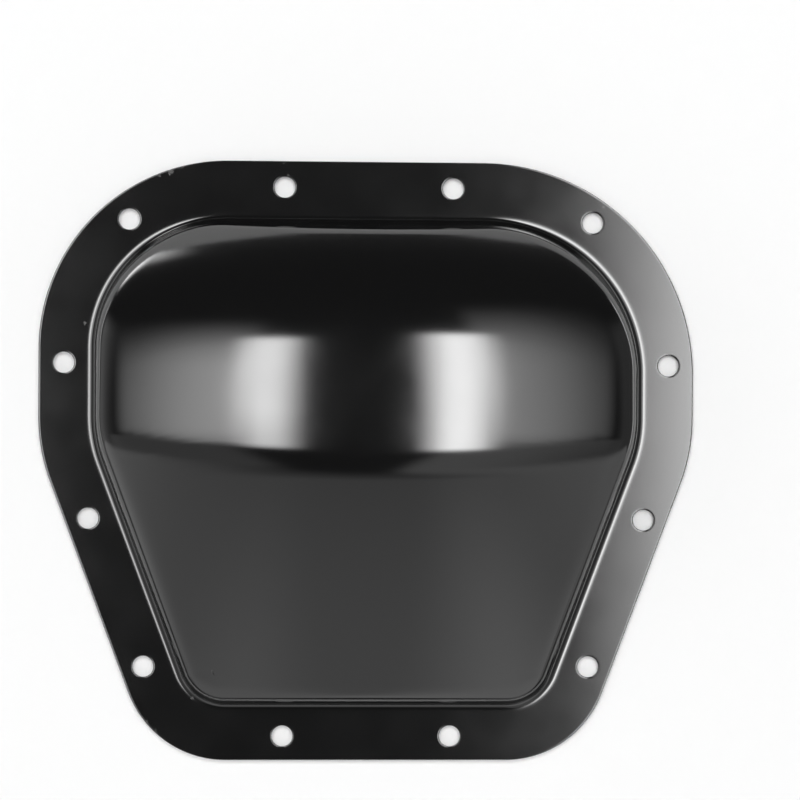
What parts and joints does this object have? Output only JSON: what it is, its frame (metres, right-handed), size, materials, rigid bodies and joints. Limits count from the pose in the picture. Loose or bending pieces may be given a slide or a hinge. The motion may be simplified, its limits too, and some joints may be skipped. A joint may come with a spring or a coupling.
{
  "type": "differential cover",
  "caption": "Pressed steel cover for the back of a drive axle: flat bolted flange, drafted wall, crowned barrel above and a sloping ramp below.",
  "frame": {"origin": "middle of the flange on the sealing face, which the cover lies on", "axes": "+X to the picture's right along the axle line, +Y to the picture's top, +Z out of the sealing face the way that the dome bulges"},
  "size_m": [0.3266, 0.299, 0.068],
  "materials": {
    "black_paint": "satin black paint over pressed steel"
  },
  "bodies": {
    "root": {"cover": "black_paint"}
  },
  "joints": []
}
